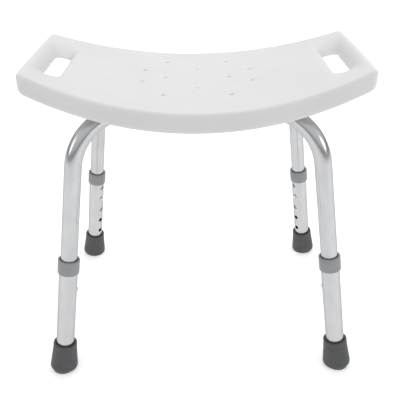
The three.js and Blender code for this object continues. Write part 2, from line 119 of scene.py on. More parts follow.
# Places along a leg, measured up its axis from the floor.
TUBE_END = 106 * MM
EXTENSION_BOTTOM = 11.5 * MM
EXTENSION_TOP = 204 * MM
COLLAR_BOTTOM = 184 * MM
COLLAR_TOP = 207.4 * MM
COLLAR_RADIUS = 16.7 * MM
TIP_FLOOR = 9.2 * MM
TIP_TOP = 51 * MM
BUTTON_HEIGHT = 148 * MM
HOLE_PITCH = 27 * MM
HOLES_BELOW_BUTTON = 3
HOLES_ABOVE_BUTTON = 1
BUTTON_HOLE_RADIUS = 4.3 * MM
BUTTON_RADIUS = 3.9 * MM
BUTTON_FLANGE = 8.2 * MM     # distances from the leg's axis
BUTTON_NOSE = 17.6 * MM

SCREW_REACH = 105 * MM
SCREW_RADIUS = 2.2 * MM
SCREW_TOP = 438 * MM
BOLT_RADIUS = 3 * MM
BOLT_WASHER_RADIUS = 7 * MM
SCREW_WASHER_RADIUS = 6 * MM
HEX_RADIUS = 5.77 * MM       # across-corners radius of the bolt head and nut

LEGS = {
    "front_left": (-1, -1),
    "front_right": (1, -1),
    "rear_left": (-1, 1),
    "rear_right": (1, 1),
}


# ---- Mesh helpers -----------------------------------------------------------------

def add_object(name, vertices, faces, smooth_angle=35):
    """A mesh object whose edges sharper than smooth_angle stay sharp."""
    mesh = bpy.data.meshes.new(name)
    mesh.from_pydata([tuple(v) for v in vertices], [], faces)
    mesh.polygons.foreach_set("use_smooth", [True] * len(mesh.polygons))
    mesh.set_sharp_from_angle(angle=math.radians(smooth_angle))
    mesh.update()
    piece = bpy.data.objects.new(name, mesh)
    bpy.context.scene.collection.objects.link(piece)
    return piece


def ring_faces(rings, count, closed=False):
    """Quads between consecutive rings of `count` vertices each."""
    faces = []
    for row in range(rings if closed else rings - 1):
        a = row * count
        b = (row + 1) % rings * count
        for i in range(count):
            j = (i + 1) % count
            faces.append((a + i, a + j, b + j, b + i))
    return faces


def turned(name, profile, matrix=Matrix(), sides=96, smooth_angle=35):
    """Body turned about Z from (radius, height) pairs. It closes on the axis, or on itself."""
    on_axis = profile[0][0] == 0 and profile[-1][0] == 0
    rings = profile[1:-1] if on_axis else profile
    vertices = []
    for radius, height in rings:
        for i in range(sides):
            angle = 2 * math.pi * i / sides
            vertices.append(matrix @ Vector((radius * math.cos(angle), radius * math.sin(angle), height)))
    faces = ring_faces(len(rings), sides, closed=not on_axis)
    if on_axis:
        low = len(vertices)
        vertices.append(matrix @ Vector((0, 0, profile[0][1])))
        vertices.append(matrix @ Vector((0, 0, profile[-1][1])))
        last = (len(rings) - 1) * sides
        for i in range(sides):
            j = (i + 1) % sides
            faces.append((low, j, i))
            faces.append((low + 1, last + i, last + j))
    return add_object(name, vertices, faces, smooth_angle)


def arc(centre, radius, start, end, steps):
    """Points of an arc in a turned profile, angles in degrees."""
    points = []
    for i in range(steps + 1):
        angle = math.radians(start + (end - start) * i / steps)
        points.append((centre[0] + radius * math.cos(angle), centre[1] + radius * math.sin(angle)))
    return points


def unwrap(piece, along, sides):
    """UV map of a ringed tube: turns around it, and metres along it. One value of along per ring."""
    layer = piece.data.uv_layers.new(name="tube")
    for polygon in piece.data.polygons:
        corners = [piece.data.loops[loop].vertex_index for loop in polygon.loop_indices]
        turns = [corner % sides / sides for corner in corners]
        if max(turns) - min(turns) > 0.5:
            turns = [turn + 1 if turn < 0.5 else turn for turn in turns]
        for loop, corner, turn in zip(polygon.loop_indices, corners, turns):
            layer.data[loop].uv = (turn, along[corner // sides])


def leg_matrix(leg):
    """A leg's own axes: Z up the leg from the floor, X towards the middle."""
    side_x, side_y = LEGS[leg]
    outward = Vector((side_x * math.cos(FRAME_ANGLE), side_y * math.sin(FRAME_ANGLE), 0))
    up = Vector((0, 0, math.cos(LEG_SPLAY))) - outward * math.sin(LEG_SPLAY)
    inward = Vector((0, 0, -math.sin(LEG_SPLAY))) - outward * math.cos(LEG_SPLAY)
    sideways = up.cross(inward)
    matrix = Matrix((inward, sideways, up)).transposed().to_4x4()
    return Matrix.Translation(outward * FOOT_REACH) @ matrix


def cut(piece, cutters):
    """Subtracts closed objects from piece, and removes them."""
    for cutter in cutters:
        modifier = piece.modifiers.new("cut", "BOOLEAN")
        modifier.operation = "DIFFERENCE"
        modifier.solver = "EXACT"
        modifier.object = cutter
    bpy.context.view_layer.update()
    evaluated = piece.evaluated_get(bpy.context.evaluated_depsgraph_get())
    mesh = bpy.data.meshes.new_from_object(evaluated)
    piece.modifiers.clear()
    piece.data = mesh
    welded = bmesh.new()
    welded.from_mesh(mesh)
    bmesh.ops.remove_doubles(welded, verts=welded.verts[:], dist=0.005 * MM)
    welded.to_mesh(mesh)
    welded.free()
    mesh.polygons.foreach_set("use_smooth", [True] * len(mesh.polygons))
    mesh.set_sharp_from_angle(angle=math.radians(35))
    for cutter in cutters:
        bpy.data.objects.remove(cutter, do_unlink=True)


# ---- Seat: a smooth implicit shape, meshed and drawn onto its own surface -------------

def dish(x):
    """Height of the dished sitting surface at x."""
    return SEAT_TOP + SEAT_DISH_RADIUS - np.sqrt(SEAT_DISH_RADIUS ** 2 - x ** 2)


def rounded_meet(a, b, radius):
    """Distance to where two half spaces overlap, with a rounded edge."""
    a = a + radius
    b = b + radius
    return np.minimum(np.maximum(a, b), 0) + np.hypot(np.maximum(a, 0), np.maximum(b, 0)) - radius


def soft_cut(body, tool, blend):
    """Takes tool out of body, rounding the rim over about `blend`."""
    gap = np.maximum(blend - np.abs(body + tool), 0)
    return np.maximum(body, -tool) + gap ** 2 / (4 * blend)


def seat_outline(x, y):
    """Distance to the seat's outline, seen from above."""
    depth = SEAT_END_HALF_DEPTH + SEAT_BOW * (1 - (x / SEAT_HALF_WIDTH) ** 2)
    slope = 2 * SEAT_BOW * x / SEAT_HALF_WIDTH ** 2
    to_side = (np.abs(y) - depth) / np.sqrt(1 + slope ** 2)
    to_end = np.abs(x) - SEAT_HALF_WIDTH
    return rounded_meet(to_end, to_side, SEAT_CORNER_RADIUS)


def slot_tool(x, y, height):
    """Distance to the nearer hand grip, narrowest half way down and flared above and below."""
    half = SEAT_THICKNESS / 2
    rise = np.clip((height + half) / half, -1, 1)
    flare = np.abs(rise) ** SLOT_FLARE_POWER
    steepness = SLOT_FLARE_POWER * np.abs(rise) ** (SLOT_FLARE_POWER - 1) / half
    to_side = np.abs(np.abs(x) - SLOT_CENTRE) - SLOT_HALF_WIDTH - SLOT_FLARE_SIDE * flare
    to_end = np.abs(y) - SLOT_HALF_LENGTH - SLOT_FLARE_END * flare
    corner = SLOT_CORNER_RADIUS + SLOT_CORNER_GROWTH * flare
    across = np.maximum(to_side + corner, 0)
    along = np.maximum(to_end + corner, 0)
    reach = np.hypot(across, along)
    facing = np.where(reach > 0, along / np.maximum(reach, 1e-9), 0) ** 2
    outside = np.where(reach > 0, reach - corner, np.maximum(to_side, to_end))
    slope = steepness * (SLOT_FLARE_SIDE + (SLOT_FLARE_END - SLOT_FLARE_SIDE) * facing)
    return outside / np.sqrt(1 + slope ** 2)


def groove_tool(x, y, z, angle):
    """Distance to the open groove that one frame tube lies in."""
    radius = TUBE_RADIUS + 0.5 * MM
    corner_reach = FOOT_REACH - RUN_HEIGHT * math.tan(LEG_SPLAY)
    bend_end = corner_reach - BEND_RADIUS * math.tan((math.pi / 2 - LEG_SPLAY) / 2)
    along = np.abs(x * math.cos(angle) + y * math.sin(angle))
    across = y * math.cos(angle) - x * math.sin(angle)
    bent = np.hypot(along - bend_end, z - RUN_HEIGHT + BEND_RADIUS) - BEND_RADIUS
    above = np.where(along < bend_end, z - RUN_HEIGHT, bent)
    return np.where(above < 0, np.abs(across), np.hypot(across, above)) - radius


def drain_places():
    places = [(side * 50, y) for side in (-1, 1) for y in (-84, 0, 84)]
    places += [(side * 84, y) for side in (-1, 1) for y in (-29, 29)]
    places += [(0, -47), (0, 47)]
    return [(x * MM, y * MM + DRAIN_SHIFT) for x, y in places]


def drain_tool(x, y, height):
    """Distance to the nearest drain hole and the shallow funnel round it."""
    nearest = np.full(x.shape, np.inf)
    for drain_x, drain_y in drain_places():
        nearest = np.minimum(nearest, np.hypot(x - drain_x, y - drain_y))
    hole = nearest - DRAIN_RADIUS
    spread_rate = (DRAIN_SINK_RADIUS - DRAIN_RADIUS) / DRAIN_SINK_DEPTH
    funnel = hole - spread_rate * (height + DRAIN_SINK_DEPTH)
    return np.minimum(hole, funnel / math.hypot(1, spread_rate))


def seat_field(points):
    """Signed distance to the seat's skin. Heights count from the dished surface."""
    x, y, height = points.T
    z = dish(x) + height
    outline = seat_outline(x, y)
    depth = SEAT_END_HALF_DEPTH + SEAT_BOW * (1 - (x / SEAT_HALF_WIDTH) ** 2)
    past_flat = np.clip((np.abs(y) / depth - FLAT_MIDDLE) / (1 - FLAT_MIDDLE), 0, 1)
    crown = SEAT_CROWN * past_flat ** 2
    slot = slot_tool(x, y, height)
    top = rounded_meet(outline, height + crown, SEAT_TOP_EDGE)
    top = soft_cut(top, slot, SLOT_TOP_RIM)
    low = rounded_meet(outline, -SEAT_THICKNESS - height, SEAT_LOW_EDGE)
    low = soft_cut(low, slot, SLOT_LOW_RIM)
    body = np.maximum(top, low)
    body = soft_cut(body, drain_tool(x, y, height), DRAIN_RIM)
    for angle in (FRAME_ANGLE, -FRAME_ANGLE):
        body = soft_cut(body, groove_tool(x, y, z, angle), RECESS_RIM)
    centre = np.hypot(x, y)
    recess = np.maximum(centre - HUB_RECESS_RADIUS, z - HUB_RECESS_TOP)
    body = soft_cut(body, recess, RECESS_RIM)
    pocket = np.maximum(centre - BOLT_POCKET_RADIUS, z - BOLT_POCKET_TOP)
    body = soft_cut(body, pocket, SMALL_RIM)
    vent = np.maximum(np.hypot(x, y - VENT_PLACE) - VENT_RADIUS, height + VENT_DEPTH)
    return soft_cut(body, vent, SMALL_RIM)


def draw_onto(field, points, most, rounds):
    """Moves points onto the surface where field is zero, at most `most` in each round."""
    nudge = 0.02 * MM
    for _ in range(rounds):
        value = field(points)
        slope = np.stack([(field(points + step) - value) / nudge for step in np.eye(3) * nudge], 1)
        size = np.maximum((slope ** 2).sum(1), 0.25)
        move = slope * (value / size)[:, None]
        length = np.maximum(np.linalg.norm(move, axis=1), 1e-12)
        points = points - move * np.minimum(1, most / length)[:, None]
    return points


def surface_net(field, low, high, step):
    """Quads over the surface where field is zero, one vertex in each cell that it crosses."""
    axes = [np.arange(low[i], high[i] + step, step) for i in range(3)]
    nodes = np.stack(np.meshgrid(*axes, indexing="ij"), -1)
    shape = nodes.shape[:3]
    inside = field(nodes.reshape(-1, 3)).reshape(shape) < 0
    count = np.zeros([n - 1 for n in shape], dtype=int)
    for i in (0, 1):
        for j in (0, 1):
            for k in (0, 1):
                count += inside[i:shape[0] - 1 + i, j:shape[1] - 1 + j, k:shape[2] - 1 + k]
    crossed = (count > 0) & (count < 8)
    number = np.full(crossed.shape, -1)
    number[crossed] = np.arange(crossed.sum())
    points = nodes[:-1, :-1, :-1][crossed] + step / 2
    quads = []
    for axis in range(3):
        one, two = [a for a in range(3) if a != axis]
        first = np.moveaxis(inside, (axis, one, two), (0, 1, 2))
        cells = np.moveaxis(number, (axis, one, two), (0, 1, 2))
        start = first[:-1, 1:-1, 1:-1]
        end = first[1:, 1:-1, 1:-1]
        around = [cells[:, :-1, :-1], cells[:, 1:, :-1], cells[:, 1:, 1:], cells[:, :-1, 1:]]
        for leaving, order in ((start & ~end, (0, 1, 2, 3)), (~start & end, (3, 2, 1, 0))):
            picked = np.stack([around[n][leaving] for n in order], 1)
            # The other two axes come in swapped order round y, which would turn its quads over.
            quads.append(picked[:, ::-1] if axis == 1 else picked)
    return points, np.concatenate(quads)


def relaxed(field, points, quads, step):
    """Evens the quads out over the surface."""
    for _ in range(2):
        total = np.zeros_like(points)
        share = np.zeros(len(points))
        for corner in range(4):
            for other in (1, 3):
                np.add.at(total, quads[:, corner], points[quads[:, (corner + other) % 4]])
                np.add.at(share, quads[:, corner], 1)
        points = draw_onto(field, (points + total / share[:, None]) / 2, step / 2, 2)
    return points


def make_seat():
    step = 1.5 * MM
    half_width = SEAT_HALF_WIDTH + 3.5 * MM
    half_depth = SEAT_END_HALF_DEPTH + SEAT_BOW + 4 * MM
    low = (-half_width, -half_depth, -SEAT_THICKNESS - 4 * MM)
    high = (half_width, half_depth, 4 * MM)
    points, quads = surface_net(seat_field, low, high, step)
    points = draw_onto(seat_field, points, step, 3)
    points = relaxed(seat_field, points, quads, step)
    points[:, 2] += dish(points[:, 0])
    seat = add_object("seat_shell", points, quads.tolist(), smooth_angle=60)
    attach(seat, "bench")
    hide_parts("seat")


# ---- Bent frame tubes ------------------------------------------------------------------

def half_frame_stations():
    """The tube's axis in its own plane, as (reach, height, heading), from a leg's end inwards."""
    turn = math.pi / 2 - LEG_SPLAY
    corner_reach = FOOT_REACH - RUN_HEIGHT * math.tan(LEG_SPLAY)
    bend_end = corner_reach - BEND_RADIUS * math.tan(turn / 2)
    start_heading = math.pi / 2 + LEG_SPLAY
    bend_start = RUN_HEIGHT - BEND_RADIUS - BEND_RADIUS * math.cos(start_heading)
    straight_steps = 24
    bend_steps = 32
    run_spacing = 5
    stations = []
    for i in range(straight_steps):
        height = TUBE_END * math.cos(LEG_SPLAY)
        height += (bend_start - height) * i / straight_steps
        stations.append((FOOT_REACH - height * math.tan(LEG_SPLAY), height, start_heading))
    for i in range(bend_steps + 1):
        heading = start_heading + turn * i / bend_steps
        stations.append((
            bend_end + BEND_RADIUS * math.sin(heading),
            RUN_HEIGHT - BEND_RADIUS - BEND_RADIUS * math.cos(heading),
            heading,
        ))
    for reach in range(int(bend_end / MM) - run_spacing, 0, -run_spacing):
        stations.append((reach * MM, RUN_HEIGHT, math.pi))
    return stations


def frame_stations():
    half = half_frame_stations()
    return half + [(0, RUN_HEIGHT, math.pi)] + [(-r, z, -h) for r, z, h in reversed(half)]


def frame_rings(radius, angle, hub_side, sides):
    """Rings along the whole inverted U, pressed flat where the frames cross, and their number."""
    stations = frame_stations()
    rotation = Matrix.Rotation(angle, 3, "Z")
    rings = []
    for reach, height, heading in stations:
        amount = 1 - min(max((abs(reach) - HUB_FLAT_REACH) / HUB_TAPER_LENGTH, 0), 1)
        amount = amount * amount * (3 - 2 * amount)
        half_height = radius - (TUBE_RADIUS - HUB_HALF_HEIGHT) * amount
        half_width = radius + HUB_SPREAD * amount
        lift = hub_side * amount * (HUB_HALF_HEIGHT + HUB_HALF_GAP)
        normal = Vector((math.sin(heading), 0, -math.cos(heading)))
        centre = Vector((reach, 0, height + lift))
        for i in range(sides):
            turn = 2 * math.pi * i / sides
            offset = Vector((0, half_width * math.cos(turn), 0)) + normal * half_height * math.sin(turn)
            rings.append(rotation @ (centre + offset))
    return rings, len(stations)


def frame_lengths():
    """Distance along the tube of each of its stations."""
    stations = frame_stations()
    lengths = [0]
    for (r0, z0, _), (r1, z1, _) in zip(stations, stations[1:]):
        lengths.append(lengths[-1] + math.hypot(r1 - r0, z1 - z0))
    return lengths


def tube_between(name, outer, inner, count, sides):
    """Hollow tube from two rows of rings, closed by flat ends."""
    faces = [tuple(reversed(face)) for face in ring_faces(count, sides)]
    shift = len(outer)
    for face in ring_faces(count, sides):
        faces.append(tuple(shift + i for i in face))
    last = (count - 1) * sides
    for i in range(sides):
        j = (i + 1) % sides
        faces.append((i, shift + i, shift + j, j))
        faces.append((last + i, last + j, shift + last + j, shift + last + i))
    piece = add_object(name, outer + inner, faces)
    tidy = bmesh.new()
    tidy.from_mesh(piece.data)
    bmesh.ops.recalc_face_normals(tidy, faces=tidy.faces)
    tidy.to_mesh(piece.data)
    tidy.free()
    return piece


def hole_cutter(matrix, height, radius):
    """Round cutter through the inward wall of a leg."""
    start = 6 * MM
    length = 14 * MM
    along_x = matrix @ Matrix.Translation((start, 0, height)) @ Matrix.Rotation(math.pi / 2, 4, "Y")
    profile = [(0, 0), (radius, 0), (radius, length), (0, length)]
    return turned("cutter", profile, along_x, sides=32)


def make_frame_tube(name, node, angle, hub_side, legs):
    sides = 64
    outer, count = frame_rings(TUBE_RADIUS, angle, hub_side, sides)
    inner, _ = frame_rings(TUBE_RADIUS - TUBE_WALL, angle, hub_side, sides)
    tube = tube_between(name, outer, inner, count, sides)
    unwrap(tube, frame_lengths() * 2, sides)
    cut(tube, [hole_cutter(leg_matrix(leg), BUTTON_HEIGHT, BUTTON_HOLE_RADIUS) for leg in legs])
    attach(tube, "bench")
    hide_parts(node)


# ---- Leg pieces ---------------------------------------------------------------------------

def make_extension(leg):
    matrix = leg_matrix(leg)
    inner_radius = EXTENSION_RADIUS - EXTENSION_WALL
    bevel = 0.3 * MM
    steps = 48
    sides = 64
    span = EXTENSION_TOP - EXTENSION_BOTTOM - 2 * bevel
    outer = [(EXTENSION_RADIUS, EXTENSION_BOTTOM + bevel + span * i / steps) for i in range(steps + 1)]
    inner = [(inner_radius, height) for _, height in reversed(outer)]
    rim_low = [(inner_radius + bevel, EXTENSION_BOTTOM), (EXTENSION_RADIUS - bevel, EXTENSION_BOTTOM)]
    rim_high = [(EXTENSION_RADIUS - bevel, EXTENSION_TOP), (inner_radius + bevel, EXTENSION_TOP)]
    profile = rim_low + outer + rim_high + inner
    tube = turned(f"lower_leg_{leg}", profile, matrix, sides=sides)
    unwrap(tube, [height for _, height in profile], sides)
    steps_from_button = range(-HOLES_BELOW_BUTTON, HOLES_ABOVE_BUTTON + 1)
    heights = [BUTTON_HEIGHT + step * HOLE_PITCH for step in steps_from_button]
    cut(tube, [hole_cutter(matrix, height, BUTTON_HOLE_RADIUS) for height in heights])
    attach(tube, f"leg_{leg}")
    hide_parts(f"leg_extension_{leg}")


def make_collar(leg):
    bore = EXTENSION_RADIUS + CLEARANCE
    throat = TUBE_RADIUS + CLEARANCE
    low_round = 0.8 * MM
    high_round = 1.4 * MM
    throat_round = 1.2 * MM
    low_centre = (COLLAR_RADIUS - low_round, COLLAR_BOTTOM + low_round)
    high_centre = (COLLAR_RADIUS - high_round, COLLAR_TOP - high_round)
    throat_centre = (throat + throat_round, COLLAR_TOP - throat_round)
    profile = [(bore, COLLAR_BOTTOM), (COLLAR_RADIUS - low_round, COLLAR_BOTTOM)]
    profile += arc(low_centre, low_round, -60, 0, 3)
    profile += arc(high_centre, high_round, 0, 90, 5)
    profile += arc(throat_centre, throat_round, 90, 180, 4)
    profile += [(throat, EXTENSION_TOP + CLEARANCE), (bore, EXTENSION_TOP + CLEARANCE)]
    collar = turned(f"guide_collar_{leg}", profile, leg_matrix(leg))
    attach(collar, f"leg_{leg}")
    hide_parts(f"collar_{leg}")


def make_tip(leg):
    """Rubber foot: a flared base, a waist, and a raised bead round its mouth."""
    bore = EXTENSION_RADIUS + CLEARANCE
    bead = 18.9 * MM
    bead_round = 1.3 * MM
    bore_round = 1 * MM
    profile = [(0, -6 * MM), (17 * MM, -6 * MM), (18.2 * MM, 0)]
    profile += arc((16.2 * MM, 7 * MM), 6 * MM, -50, 10, 8)
    profile += [(21.6 * MM, 14 * MM), (20.6 * MM, 24 * MM), (19.7 * MM, 34 * MM), (19 * MM, 44 * MM)]
    profile += [(bead - 0.2 * MM, TIP_TOP - 4.4 * MM)]
    profile += [(bead, TIP_TOP - 3.6 * MM), (bead, TIP_TOP - 1.6 * MM)]
    profile += arc((bead - bead_round, TIP_TOP - bead_round), bead_round, 0, 90, 4)
    profile += arc((bore + bore_round, TIP_TOP - bore_round), bore_round, 90, 180, 3)
    profile += [(bore, TIP_FLOOR), (0, TIP_FLOOR)]
    tip = turned(f"foot_{leg}", profile, leg_matrix(leg))
    stand_flat(tip)
    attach(tip, f"leg_{leg}")
    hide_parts(f"rubber_tip_{leg}")


def stand_flat(tip):
    """Cuts the tip level at the floor and gives its sole a tread of rings."""
    sole = bmesh.new()
    sole.from_mesh(tip.data)
    everything = sole.verts[:] + sole.edges[:] + sole.faces[:]
    result = bmesh.ops.bisect_plane(sole, geom=everything, dist=1e-6, plane_co=(0, 0, 0),
                                    plane_no=(0, 0, 1), clear_inner=True)
    rim = [part for part in result["geom_cut"] if isinstance(part, bmesh.types.BMEdge)]
    cap = bmesh.ops.edgeloop_fill(sole, edges=rim)["faces"][0]
    cap.normal_update()
    if cap.normal.z > 0:
        cap.normal_flip()
    for _ in range(3):
        for width, depth in ((2.2, 0), (0.3, -1.2), (1.4, 0), (0.3, 1.2)):
            bmesh.ops.inset_region(sole, faces=[cap], thickness=width * MM, depth=depth * MM)
    sole.to_mesh(tip.data)
    sole.free()
    tip.data.polygons.foreach_set("use_smooth", [True] * len(tip.data.polygons))
    tip.data.set_sharp_from_angle(angle=math.radians(35))


def make_button(leg):
    """Domed button with a flange behind it, pointing inwards."""
    flange = 5.2 * MM
    flange_thickness = 1.2 * MM
    bevel = 0.2 * MM
    dome_round = 2 * MM
    back = BUTTON_FLANGE
    front = BUTTON_FLANGE + flange_thickness
    profile = [(0, back), (flange - bevel, back), (flange, back + bevel), (flange, front - bevel)]
    profile += [(flange - bevel, front), (BUTTON_RADIUS, front)]
    profile += arc((BUTTON_RADIUS - dome_round, BUTTON_NOSE - dome_round), dome_round, 0, 80, 8)
    profile += [(0.8 * MM, BUTTON_NOSE), (0, BUTTON_NOSE)]
    place = Matrix.Translation((0, 0, BUTTON_HEIGHT))
    matrix = leg_matrix(leg) @ place @ Matrix.Rotation(math.pi / 2, 4, "Y")
    button = turned(f"push_button_{leg}", profile, matrix, sides=48)
    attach(button, f"button_{leg}")
    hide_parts(f"snap_button_{leg}")


# ---- Fasteners --------------------------------------------------------------------------

HUB_HIGH = RUN_HEIGHT + HUB_HALF_GAP + 2 * HUB_HALF_HEIGHT
HUB_LOW = RUN_HEIGHT - HUB_HALF_GAP - 2 * HUB_HALF_HEIGHT
TUBE_UNDERSIDE = RUN_HEIGHT - TUBE_RADIUS


def fasten(piece, *nodes):
    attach(piece, "bench")
    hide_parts(*nodes)


def thread(radius, low, high, pitch):
    """Rings of a screw thread in a turned profile, from low to high."""
    depth = 0.35 * MM
    points = []
    count = int(round((high - low) / pitch))
    for i in range(count):
        height = low + i * (high - low) / count
        points += [(radius - depth, height), (radius, height + pitch / 2)]
    return points


def make_cross_bolt():
    low = HUB_LOW - 10 * MM
    head_low = HUB_HIGH + CLEARANCE
    head_high = head_low + 4 * MM
    overlap = 0.5 * MM
    point = 0.8 * MM
    chamfer = 0.5 * MM
    shank = [(0, low), (BOLT_RADIUS - point, low)]
    shank += thread(BOLT_RADIUS, low + point, HUB_LOW, 1 * MM)
    shank += [(BOLT_RADIUS, HUB_LOW + 0.5 * MM), (BOLT_RADIUS, head_low + overlap), (0, head_low + overlap)]
    fasten(turned("frame_bolt_shank", shank, sides=32), "cross_bolt")
    head = [(0, head_low), (HEX_RADIUS - chamfer, head_low), (HEX_RADIUS, head_low + chamfer)]
    head += [(HEX_RADIUS, head_high - chamfer), (HEX_RADIUS - chamfer, head_high), (0, head_high)]
    fasten(turned("frame_bolt_head", head, sides=6), "cross_bolt")


def make_nut():
    low = HUB_LOW - 7.4 * MM
    high = HUB_LOW - 2.4 * MM
    bore = BOLT_RADIUS + 0.2 * MM
    chamfer = 0.6 * MM
    profile = [(bore + chamfer, low), (HEX_RADIUS - chamfer, low), (HEX_RADIUS, low + chamfer)]
    profile += [(HEX_RADIUS, high - chamfer), (HEX_RADIUS - chamfer, high), (bore + chamfer, high)]
    profile += [(bore, high - chamfer), (bore, low + chamfer)]
    fasten(turned("frame_bolt_nut", profile, sides=6), "bolt_nut")


def make_washer(name, node, place, inner, outer, low, high):
    round_edge = 0.3 * MM
    profile = [(inner, low), (outer - round_edge, low), (outer, low + round_edge)]
    profile += [(outer, high - round_edge), (outer - round_edge, high), (inner, high)]
    fasten(turned(name, profile, Matrix.Translation(place), sides=48), node)


def driver_cross(place):
    """Cutter for a cross recess, tapering upwards into a screw head that faces down."""
    outline = []
    for quarter in range(4):
        turn = Matrix.Rotation(quarter * math.pi / 2, 3, "Z")
        for x, y in ((2.6, -0.5), (2.6, 0.5), (0.5, 0.5)):
            outline.append(turn @ Vector((x * MM, y * MM, 0)))
    low = [place + corner - Vector((0, 0, 1 * MM)) for corner in outline]
    high = [place + corner * 0.5 + Vector((0, 0, 2 * MM)) for corner in outline]
    count = len(outline)
    faces = ring_faces(2, count)
    faces.append(tuple(reversed(range(count))))
    faces.append(tuple(range(count, 2 * count)))
    return add_object("cutter", low + high, faces)


def make_seat_screw(leg):
    side_x, side_y = LEGS[leg]
    place = Vector((
        side_x * SCREW_REACH * math.cos(FRAME_ANGLE),
        side_y * SCREW_REACH * math.sin(FRAME_ANGLE),
        0,
    ))
    head = 4.8 * MM
    head_round = 1.8 * MM
    low = TUBE_UNDERSIDE - 5.2 * MM
    high = TUBE_UNDERSIDE - 2.3 * MM
    thread_low = TUBE_UNDERSIDE + 27 * MM
    profile = [(0, low), (head / 2, low)]
    profile += arc((head - head_round, low + head_round), head_round, -80, 0, 6)
    profile += [(head, high), (SCREW_RADIUS, high), (SCREW_RADIUS, thread_low)]
    profile += thread(SCREW_RADIUS, thread_low, SCREW_TOP - 3 * MM, 1.5 * MM)
    profile += [(0.4 * MM, SCREW_TOP), (0, SCREW_TOP)]
    screw = turned(f"fixing_screw_{leg}", profile, Matrix.Translation(place), sides=48)
    cut(screw, [driver_cross(place + Vector((0, 0, low)))])
    fasten(screw, f"seat_screw_{leg}")
    washer_low = TUBE_UNDERSIDE - 1.9 * MM
    make_washer(f"fixing_washer_{leg}", f"screw_washer_{leg}", place,
                SCREW_RADIUS + 0.3 * MM, SCREW_WASHER_RADIUS, washer_low, washer_low + 1.5 * MM)


# ---- Materials ------------------------------------------------------------------------------

def new_material(name):
    material = bpy.data.materials.new(name)
    material.use_nodes = True
    return material, material.node_tree, material.node_tree.nodes["Principled BSDF"]


def local_position(tree):
    return tree.nodes.new("ShaderNodeTexCoord").outputs["Object"]


def tube_position(tree, stretch):
    """Position on the tube rolled straight, with lengths along it scaled by stretch."""
    uv = tree.nodes.new("ShaderNodeUVMap")
    uv.uv_map = "tube"
    parts = tree.nodes.new("ShaderNodeSeparateXYZ")
    tree.links.new(uv.outputs["UV"], parts.inputs[0])
    joined = tree.nodes.new("ShaderNodeCombineXYZ")
    for i, operation in enumerate(("COSINE", "SINE")):
        turn = calculate(tree, "MULTIPLY", parts.outputs["X"], 2 * math.pi)
        wave = calculate(tree, operation, turn)
        tree.links.new(calculate(tree, "MULTIPLY", wave, EXTENSION_RADIUS), joined.inputs[i])
    tree.links.new(calculate(tree, "MULTIPLY", parts.outputs["Y"], stretch), joined.inputs[2])
    return joined.outputs[0]


def calculate(tree, operation, first, second=None):
    """Maths node on one linked value, and on a second number where it takes one."""
    node = tree.nodes.new("ShaderNodeMath")
    node.operation = operation
    tree.links.new(first, node.inputs[0])
    if second is not None:
        node.inputs[1].default_value = second
    return node.outputs[0]


def noise(tree, position, scale, detail=2, roughness=0.5):
    node = tree.nodes.new("ShaderNodeTexNoise")
    node.inputs["Scale"].default_value = scale
    node.inputs["Detail"].default_value = detail
    node.inputs["Roughness"].default_value = roughness
    tree.links.new(position, node.inputs["Vector"])
    return node.outputs["Fac"]


def spread(tree, value, low, high, from_low=0.3, from_high=0.7):
    """Maps a noise value onto the range from low to high."""
    node = tree.nodes.new("ShaderNodeMapRange")
    node.inputs["From Min"].default_value = from_low
    node.inputs["From Max"].default_value = from_high
    node.inputs["To Min"].default_value = low
    node.inputs["To Max"].default_value = high
    tree.links.new(value, node.inputs["Value"])
    return node.outputs["Result"]


def blend_colours(tree, amount, first, second):
    node = tree.nodes.new("ShaderNodeMix")
    node.data_type = "RGBA"
    colour_inputs = [socket for socket in node.inputs if socket.type == "RGBA"]
    colour_inputs[0].default_value = (*first, 1)
    colour_inputs[1].default_value = (*second, 1)
    tree.links.new(amount, node.inputs["Factor"])
    return [socket for socket in node.outputs if socket.type == "RGBA"][0]


def bump(tree, shader, layers):
    """Stacks bump maps of (height, strength, distance) on the shader's normal."""
    normal = None
    for height, strength, distance in layers:
        node = tree.nodes.new("ShaderNodeBump")
        node.inputs["Strength"].default_value = strength
        node.inputs["Distance"].default_value = distance
        tree.links.new(height, node.inputs["Height"])
        if normal is not None:
            tree.links.new(normal, node.inputs["Normal"])
        normal = node.outputs["Normal"]
    tree.links.new(normal, shader.inputs["Normal"])


def seat_plastic():
    material, tree, shader = new_material("seat_plastic")
    here = local_position(tree)
    cloudy = spread(tree, noise(tree, here, 9, 3), 0, 1)
    tint = blend_colours(tree, cloudy, (0.74, 0.74, 0.735), (0.765, 0.765, 0.765))
    tree.links.new(tint, shader.inputs["Base Color"])
    tree.links.new(spread(tree, noise(tree, here, 55, 4, 0.65), 0.48, 0.62), shader.inputs["Roughness"])
    shader.inputs["Subsurface Weight"].default_value = 0.6
    shader.inputs["Subsurface Radius"].default_value = (1, 1, 0.9)
    shader.inputs["Subsurface Scale"].default_value = 0.008
    bump(tree, shader, [
        (noise(tree, here, 24, 1), 0.35, 0.0012),
        (noise(tree, here, 900, 3, 0.6), 0.25, 0.00012),
    ])
    return material


def anodised_tube():
    material, tree, shader = new_material("anodised_tube")
    drawn = noise(tree, tube_position(tree, 0.02), 1500, 3, 0.6)
    cloudy = noise(tree, tube_position(tree, 0.6), 60, 3)
    tint = blend_colours(tree, spread(tree, cloudy, 0, 1), (0.515, 0.52, 0.53), (0.565, 0.57, 0.575))
    tree.links.new(tint, shader.inputs["Base Color"])
    shader.inputs["Metallic"].default_value = 1
    shader.inputs["Specular Tint"].default_value = (0.55, 0.55, 0.56, 1)
    tree.links.new(spread(tree, drawn, 0.20, 0.30), shader.inputs["Roughness"])
    bump(tree, shader, [(drawn, 0.12, 0.0001), (cloudy, 0.1, 0.0002)])
    return material


